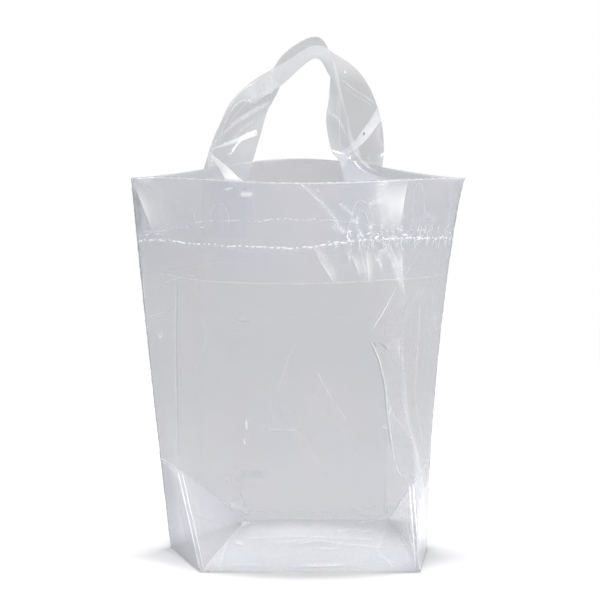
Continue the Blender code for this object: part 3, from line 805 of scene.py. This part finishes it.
BASE_HIGHLIGHT_FACETS = (
    (((0.26, 0.50), (0.54, 0.62), (0.50, 0.45), (0.30, 0.42)), 0.35),
    (((0.39, 0.06), (0.72, 0.10), (0.75, 0.20), (0.45, 0.16)), 0.5),
    (((-0.02, 0.98), (0.03, 0.80), (0.10, 0.82), (0.05, 0.99)), 1.0),
    (((0.04, 0.52), (0.12, 0.46), (0.13, 0.54), (0.06, 0.60)), 0.7),
    (((0.80, 0.98), (0.98, 0.90), (0.90, 0.70), (0.78, 0.86)), 0.4),
    (((0.62, 0.74), (0.74, 0.80), (0.72, 0.70), (0.64, 0.68)), 0.35),
)


def smooth_path(path):
    """Points every LINE_STEP along a rounded path."""
    path = np.array(path, float)
    run = running_length(path)
    at = np.linspace(0, run[-1], max(int(run[-1] / LINE_STEP), 4) + 1)
    fine = np.stack([np.interp(at, run, path[:, k]) for k in range(path.shape[1])], -1)
    for _ in range(2):
        fine[1:-1] = (fine[:-2] + 2 * fine[1:-1] + fine[2:]) / 4
    return fine, at


def add_line(web, place, path, width, white):
    """A ribbon along a path. place turns the path's own coordinates into points."""
    middle, at = smooth_path(path)
    run = np.gradient(middle, axis=0)
    run /= np.linalg.norm(run, axis=1, keepdims=True)
    across = np.linspace(-1, 1, 5)
    a = middle[:, None, 0] - run[:, None, 1] * across * width / 2
    b = middle[:, None, 1] + run[:, None, 0] * across * width / 2
    ends = np.clip(np.minimum(at, at[-1] - at) / min(8, at[-1] / 3), 0, 1)[:, None]
    broken = 1 + 0.5 * waves(at[:, None], np.full((1, 1), width * 9), 7, 1, 71.5)
    web.add(place(a, b), a, b, np.clip(white * ends * broken, -1, 1) * (1 - across**2)[None])


def add_highlight_facet(web, place, corners, white, fade=1.0):
    a, b, c, d = np.array(corners, float)
    u, v = (grid[..., None] for grid in np.meshgrid(np.linspace(0, 1, 13), np.linspace(0, 1, 13)))
    at = (a * (1 - u) + b * u) * (1 - v) + (d * (1 - u) + c * u) * v
    across = np.sin(np.pi * np.clip(u[..., 0], 0.02, 0.98)) ** (0.8 * fade)
    web.add(place(at[..., 0], at[..., 1]), at[..., 0], at[..., 1],
            white * (1 - fade * v[..., 0]) ** 1.5 * across)


def fold_lines_and_painted_light():
    web = Web("fold_lines_and_painted_light")
    for side, facets in ((FRONT, FRONT_HIGHLIGHT_FACETS), (BACK, BACK_HIGHLIGHT_FACETS)):
        for corners, white in facets:
            add_highlight_facet(web, lambda s, h: film_at(side, s, h, 0.35)[0], corners, white)
    for corners, white in BASE_HIGHLIGHT_FACETS:
        add_highlight_facet(web, lambda a, b: base_point(a, b, 0.5), corners, white)
    for side, lines in ((FRONT, FRONT_LINES), (BACK, BACK_LINES)):
        for path, width, white in lines:
            add_line(web, lambda s, h: film_at(side, np.clip(s, 0, FLAT_WIDTH),
                                               np.clip(h, 0, PANEL_HEIGHT), 0.2)[0], path, width, white)
    for end in (LEFT, RIGHT):
        inwards = 1 if end == LEFT else -1
        tuck, tip = tuck_point(end), np.append(ear_tip(end), 0.3)
        weld = gusset_top(end)
        front, back = (np.append(corner_points(side)[end], 0.3) for side in (FRONT, BACK))
        front_out = np.array([0, -0.6, 0.2])
        slug = 1.2 if end == LEFT else 0.3
        for a, b, width, white in (
            (back * 0.76 + tuck * 0.24 + (0, 0, 3), back + (3 * inwards, 0, 4), 7.0, slug),
            (weld, tuck, 1.4, 0.9), (weld - (0, 0, 2.2), tuck - (0, 0, 2.2), 1.0, 0.7),
            (tuck, front, 1.4, 0.85),
            (tuck + (3 * inwards, 0, 0), front + (3 * inwards, 0, 0), 1.1, 0.75),
            (tuck, back, 1.6, 0.75), (front, tip, 1.0, 0.35),
            (front * 0.45 + tuck * 0.55, front * 0.2 + back * 0.8, 1.0, 0.2),
        ):
            side_step = np.cross(b - a, (0, -1, 0.25))
            side_step /= np.linalg.norm(side_step)
            add_line(web, lambda u, w: (a + (b - a) * (u / 100)[..., None] + side_step * w[..., None]
                                        + front_out), ((0, 0), (100, 0)), width, white)
    # Lines on the base, in base shares: painted shade along its front edge, then creases turned white and
    # painted highlights.
    for path, width, white in (
        (((0, 0.003), (1, 0.003)), 0.008, -0.5), (((0.0, 0.97), (0.06, 0.86)), 0.045, 1.0),
        (((0.35, 0.45), (0.5, 0.55), (0.65, 0.50), (0.9, 0.42)), 0.03, 0.4),
        (((0.11, 0.60), (0.4, 0.64), (0.86, 0.58)), 0.025, 0.55),
        (((0.5, 0.43), (0.6, 0.40), (0.66, 0.42)), 0.04, 0.5),
        (((0.45, 0.13), (0.55, 0.10), (0.65, 0.12)), 0.04, 0.45),
        (((0.75, 0.9), (0.85, 0.93), (0.98, 0.99)), 0.05, 0.6),
        (((0.72, 0.8), (0.8, 0.72), (0.92, 0.85)), 0.03, 0.5),
        (((0.1, 0.1), (0.2, 0.13), (0.28, 0.1)), 0.03, 0.4),
        (((0.08, 0.0), (0.02, 0.45), (0.0, 0.9)), 0.012, 0.3),
        (((0.9, 0.0), (0.84, 0.4), (0.93, 0.75)), 0.012, 0.45), (((0.82, 0.3), (0.97, 0.05)), 0.014, 0.4),
    ):
        path = [(a * BASE_SPAN[0], b * BASE_SPAN[1]) for a, b in path]
        add_line(web, lambda a, b: base_point(a / BASE_SPAN[0], b / BASE_SPAN[1], 0.25), path,
                 width * 150, white)
    web.build(line_material())


fold_lines_and_painted_light()


# Hem welds
# A hot wire pressed the turned film to the panel. It left a broken row of squeezed, whitened marks,
# and on the busy side of the front the shrunk film stands in short upright pleats.

MARK_INPUTS = (("Spacing", "Float"), ("Length", "Float"), ("Height", "Float"), ("Jitter", "Float"),
               ("Turn", "Rotation"), ("Seed", "Int"), ("Material", "Material"))


def mark_tree():
    """Geometry Nodes that lay drawn-out beads of film along a line."""
    tree = bpy.data.node_groups.new("weld_marks", "GeometryNodeTree")
    tree.interface.new_socket("Line", in_out="INPUT", socket_type="NodeSocketGeometry")
    for name, kind in MARK_INPUTS:
        tree.interface.new_socket(name, in_out="INPUT", socket_type="NodeSocket" + kind)
    tree.interface.new_socket("Marks", in_out="OUTPUT", socket_type="NodeSocketGeometry")
    given = tree.nodes.new("NodeGroupInput")
    line, spacing, length, height, jitter, turn, seed, material = (
        Signal(tree, socket) for socket in given.outputs[:8])
    curve = line.node("GeometryNodeMeshToCurve", 0, {}, Mesh=line)
    curve = curve.node("GeometryNodeResampleCurve", 0, {"mode": "LENGTH"}, Curve=curve, Length=spacing)
    stray = curve.node("FunctionNodeRandomValue", 0, {"data_type": "FLOAT_VECTOR"},
                       in_0=(-1, -0.2, -1), in_1=(1, 0.2, 1), Seed=seed)
    stray = stray.node("ShaderNodeVectorMath", 0, {"operation": "SCALE"}, in_0=stray, Scale=jitter)
    curve = curve.node("GeometryNodeSetPosition", 0, {}, Geometry=curve, Offset=stray)
    along = Signal(tree, tree.nodes.new("GeometryNodeInputTangent").outputs[0])
    facing = along.node("FunctionNodeAlignRotationToVector", 0, {"axis": "X"}, Vector=along)
    facing = facing.node("FunctionNodeRotateRotation", 0, {"rotation_space": "LOCAL"}, in_0=facing, in_1=turn)
    size = along.node("FunctionNodeRandomValue", 1, {"data_type": "FLOAT"}, in_2=0.15, in_3=1.0,
                      Seed=seed + 1)
    scale = size.node("ShaderNodeCombineXYZ", 0, {}, in_0=size * length, in_1=height * 0.5, in_2=height)
    bead = size.node("GeometryNodeMeshIcoSphere", 0, {}, Radius=0.5, Subdivisions=2)
    marks = curve.node("GeometryNodeInstanceOnPoints", 0, {}, Points=curve, Instance=bead,
                       Rotation=facing, Scale=scale)
    marks = marks.node("GeometryNodeRealizeInstances", 0, {}, Geometry=marks)
    marks = marks.node("GeometryNodeSetMaterial", 0, {}, Geometry=marks, Material=material)
    tree.links.new(marks.socket, tree.nodes.new("NodeGroupOutput").inputs[0])
    return tree


def mark_material_with_glow(name, colour, alpha):
    material, _, shader = blank_material(name)
    # Besides their white colour the marks glow faintly: painted light that makes them brighter than the lamps
    # do.
    feed(shader, Base_Color=(*colour, 1), Alpha=alpha, Roughness=0.3, Emission_Color=(1, 1, 1, 1),
         Emission_Strength=0.12)
    return material


def lay_marks(name, points, **values):
    """Runs the tree along these points and keeps the result as a plain mesh."""
    mesh = bpy.data.meshes.new(name)
    mesh.from_pydata((points / 1000).tolist(), [(i, i + 1) for i in range(len(points) - 1)], [])
    holder = put_in(name, mesh)
    modifier = holder.modifiers.new("marks", "NODES")
    modifier.node_group = WELD_MARKS
    for item in WELD_MARKS.interface.items_tree:
        if item.name in values:
            modifier[item.identifier] = values[item.name]
    view = bpy.context.evaluated_depsgraph_get()
    made = bpy.data.meshes.new_from_object(holder.evaluated_get(view), depsgraph=view)
    holder.modifiers.remove(modifier)
    holder.data = made
    bpy.data.meshes.remove(mesh)
    made.shade_smooth()
    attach(holder, "root")


def along_weld(side, start, end, rise=0.0):
    s = np.arange(start, end, 1.0)
    return film_at(side, s, np.interp(s, *zip(*WELD_LINE[side])) + rise, 0.25)[0]


WELD_MARKS = mark_tree()
bead_film = mark_material_with_glow("welded_glowing_film", WHITENED_AND_HIGHLIGHT_FILM, 0.95)
pleat_film = mark_material_with_glow("pleated_glowing_film", WHITENED_AND_HIGHLIGHT_FILM, 0.5)
across_weld = (0.0, math.pi / 2, 0.0)
for side, name in ((FRONT, "front"), (BACK, "back")):
    lay_marks(name + "_weld_beads", along_weld(side, 3, 297), Spacing=0.0048, Length=0.0065, Height=0.0013,
              Jitter=0.0007, Seed=4 + side, Material=bead_film)
lay_marks("front_weld_pleats", along_weld(FRONT, 196, 296, -2.0), Spacing=0.0024, Length=0.017, Height=0.0005,
          Jitter=0.002, Turn=across_weld, Seed=11, Material=pleat_film)
lay_marks("front_weld_upper_pleats", along_weld(FRONT, 236, 297, 6.0), Spacing=0.0036, Length=0.012,
          Height=0.0005, Jitter=0.003, Turn=across_weld, Seed=17, Material=pleat_film)
lay_marks("front_weld_specks", along_weld(FRONT, 176, 262, 3.0), Spacing=0.003, Length=0.005, Height=0.0012,
          Jitter=0.004, Seed=23, Material=bead_film)


# Carrying straps
# Two flat strips of the same film, each welded by its ends inside the hem. They were held up by
# their tops when the bag was set up, so each turns by about half a turn of bearing on its way over.

STRAP_WIDTH = 37
STRAP_SPACING, STRAP_SIDE_SHIFT = (119, 112), (-4, -3)
STRAP_TAIL = 43
RIM_TAKE_UP = 19
HEM_THICKNESS = 1.2

LOOPS = {
    FRONT: (
        ((-49, -51, 19), (175, 5), 0.90), ((-42, -46, 34), (210, 5), 0.90),
        ((-33, -39, 50), (235, 10), 0.95), ((-22, -32, 63), (250, 10), 1.00),
        ((-9, -22, 84), (265, 25), 1.00), ((12, -17, 96), (270, 25), 1.00),
        ((23, -24, 86), (270, 25), 1.00), ((26, -31, 63), (280, 15), 0.95),
        ((28, -40, 45), (295, 15), 0.95), ((31, -49, 25), (300, 20), 0.75),
        ((39, -57, 13), (335, -5), 0.55),
    ),
    BACK: (
        ((-53, 40, 9), (190, -5), 0.90), ((-50, 36, 25), (160, -10), 0.80),
        ((-42, 29, 45), (120, 10), 0.85), ((-33, 22, 57), (95, 20), 1.00),
        ((-13, 17, 70), (90, 20), 1.00), ((12, 11, 88), (90, 10), 1.00),
        ((26, 15, 78), (80, 20), 0.95), ((37, 18, 66), (60, 20), 0.95),
        ((43, 26, 48), (40, 25), 1.00), ((47, 35, 26), (15, 20), 1.00),
        ((49, 42, 8), (-10, 10), 0.95),
    ),
}
LOOP_ROWS = 12
STRAP_COLUMNS = 28

# On a strap a place is (u, run): u across from the outer edge, run along from the left tail's end.
# Bands are wide, soft painted highlights. Lines are sharp: creases turned white, a few painted
# highlights, and below 0 painted shade beside a crease. Each is a path, its width, and how white it is.
STRAP_HIGHLIGHT_BANDS = {
    FRONT: ((((1, 152), (9, 161), (21, 173), (17, 182)), 6.0, 0.15),),
    BACK: ((((3, 285), (14, 292)), 5.0, 0.15),),
}
STRAP_LINES = {
    FRONT: (
        (((34, 128), (20, 112), (15, 108)), 1.2, -0.45),
        (((34.5, 130), (20.5, 114), (15.5, 110)), 1.1, 0.8),
        (((1.2, 82), (1.3, 110), (1.2, 150), (1.2, 190)), 1.2, 0.5),
        (((5, 82), (8, 104), (7, 122)), 1.2, 0.4),
        # A broad painted highlight across the strap.
        (((1, 75), (11, 87), (22, 95), (30, 104), (36, 111)), 7, 0.55),
        (((24, 189), (26, 210), (24, 230), (28, 246)), 1.1, 0.35),
        (((9.5, 70.5), (12, 73)), 2.0, 0.95),
    ),
    BACK: (
        (((33, 203), (24, 217), (9, 234), (0, 248)), 1.2, 0.6),
        (((35, 206), (26, 220), (11, 237), (1, 251)), 1.0, 0.35),
        (((21.5, 204), (23.5, 206)), 2.0, 0.9), (((15, 263), (17, 265)), 2.2, -0.8),
        (((11, 283), (13, 285)), 2.0, 0.8),
        (((1, 57), (1.5, 75), (16, 94), (12, 110), (3, 121)), 1.3, 0.45),
        (((35.8, 216), (35.8, 274)), 1.2, 0.5),
    ),
}
# Painted highlights on the straps, as facets.
STRAP_HIGHLIGHT_FACETS = {
    FRONT: (
        (((0, 64.5), (37, 42), (34, 30), (0, 63.5)), 0.95), (((33, 83), (0, 66), (0, 65), (35, 78)), 0.75),
        (((33, 128), (16, 110), (6, 121), (15, 133)), 0.7),
    ),
    BACK: (
        (((0, 259.5), (36.5, 283), (36.5, 276), (0, 249)), 0.95),
        (((37, 281), (34, 298), (30, 290), (26, 280)), 0.8),
    ),
}


def hem_place(side, s, h):
    """On the inner face of the hem."""
    return film_at(side, s, h, -HEM_THICKNESS)[0]


def spline(points, steps):
    curve = []
    for before, a, b, after in zip(points, points[1:], points[2:], points[3:]):
        for t in np.arange(steps) / steps:
            curve.append((2 * a + (b - before) * t + (2 * before - 5 * a + 4 * b - after) * t * t
                          + (3 * a - before - 3 * b + after) * t**3) / 2)
    return np.array(curve + [points[-2]])


def curl_angle(share):
    low, high = 0.0, math.pi / 2
    for _ in range(30):
        middle = (low + high) / 2
        low, high = (middle, high) if math.sin(middle) > share * middle else (low, middle)
    return low


def strap_rows(side):
    which = 0 if side == FRONT else 1
    across = np.linspace(0, 1, STRAP_COLUMNS + 1)
    tails = []
    for out in (-1, 1):
        middle = FLAT_WIDTH / 2 + STRAP_SIDE_SHIFT[which] + out * STRAP_SPACING[which] / 2
        half = STRAP_WIDTH / 2 / (1 - RIM_TAKE_UP / FLAT_WIDTH)
        s = middle + out * half * (1 - 2 * across)
        heights = PANEL_HEIGHT - STRAP_TAIL * (1 - np.linspace(0, 1, 16))
        tails.append([hem_place(side, s, h) for h in heights])
    left, right = tails
    named = [(left[-5][0], left[-5][-1]), (left[-1][0], left[-1][-1])]
    for centre, (bearing, slope), spread in LOOPS[side]:
        bearing, slope = math.radians(bearing), math.radians(slope)
        flat = math.cos(slope)
        line = np.array([flat * math.cos(bearing), flat * math.sin(bearing), math.sin(slope)])
        middle = np.array(centre) + (0, 0, PANEL_HEIGHT)
        named.append((middle + line * spread * STRAP_WIDTH / 2, middle - line * spread * STRAP_WIDTH / 2))
    named += [(right[-1][0], right[-1][-1]), (right[-5][0], right[-5][-1])]
    outer, inner = (spline([pair[k] for pair in named], LOOP_ROWS) for k in (0, 1))
    middles = (outer + inner) / 2
    rows = []
    for i in range(1, len(middles) - 1):
        run = middles[i + 1] - middles[i - 1]
        cross = np.cross(outer[i] - inner[i], run)
        outwards = cross / np.linalg.norm(cross) * -side
        chord = np.linalg.norm(outer[i] - inner[i])
        free = min(i, len(middles) - 1 - i, LOOP_ROWS) / LOOP_ROWS
        width = chord + (STRAP_WIDTH - chord) * free
        half = curl_angle(min(chord / width, 0.9999))
        radius = chord / 2 / math.sin(half)
        angle = half * (1 - 2 * across)[:, None]
        rise = radius * (np.cos(angle) - math.cos(half))
        rows.append(middles[i] + (outer[i] - inner[i]) / chord * radius * np.sin(angle) + outwards * rise)
    return np.array(left + rows + right[::-1])


def strap(name, side, node):
    points = strap_rows(side)
    rows, columns = points.shape[:2]
    middle = points[:, columns // 2]
    run = running_length(middle)
    h = np.repeat(run[:, None], columns, 1)
    s = np.repeat(np.linspace(0, STRAP_WIDTH, columns)[None], rows, 0)
    out = np.cross(np.gradient(points, axis=1), np.gradient(points, axis=0))
    out /= np.maximum(np.linalg.norm(out, axis=-1, keepdims=True), 1e-9)
    tail = np.clip(np.minimum(h, run[-1] - h) / STRAP_TAIL - 1, 0, 0.3) / 0.3
    points = points + out * (0.15 * waves(s, h, 30, 30, 61.0 + side) * tail)[..., None]
    white = np.zeros_like(s)
    for path, width, amount in STRAP_HIGHLIGHT_BANDS[side]:
        streaks = 0.8 + 0.4 * waves(s, h, 3, 14, 63.5)
        white += amount * streaks * bell(near_path(s, h, path)[0], width)
    web = Web(name)
    web.add(points, s, h, np.clip(white, 0, 1), flip=side == BACK)
    web.build(film_material(name, 0.22, 0.3), node)

    def on_strap(u, along):
        row = np.interp(along, run, np.arange(rows))
        column = np.clip(u / STRAP_WIDTH, 0, 1) * (columns - 1)
        i, j = np.minimum(row.astype(int), rows - 2), np.minimum(column.astype(int), columns - 2)
        a, b = (row - i)[..., None], (column - j)[..., None]
        flat = (points[i, j] * (1 - b) + points[i, j + 1] * b) * (1 - a)
        return flat + (points[i + 1, j] * (1 - b) + points[i + 1, j + 1] * b) * a + out[i, j] * 0.35

    lines = Web(name.replace("film", "lines"))
    for path, width, amount in STRAP_LINES[side]:
        add_line(lines, on_strap, path, width, amount)
    for corners, amount in STRAP_HIGHLIGHT_FACETS[side]:
        add_highlight_facet(lines, on_strap, corners, amount, 0.2)
    lines.build(bpy.data.materials["fold_line_and_painted_light_film"], None)


strap("front_strap_film", FRONT, "front_loop_handle")
strap("back_strap_film", BACK, "back_loop_handle")

scene = bpy.context.scene
scene.view_settings.view_transform = "Standard"
scene.cycles.transparent_max_bounces = 24
scene.cycles.max_bounces = 8
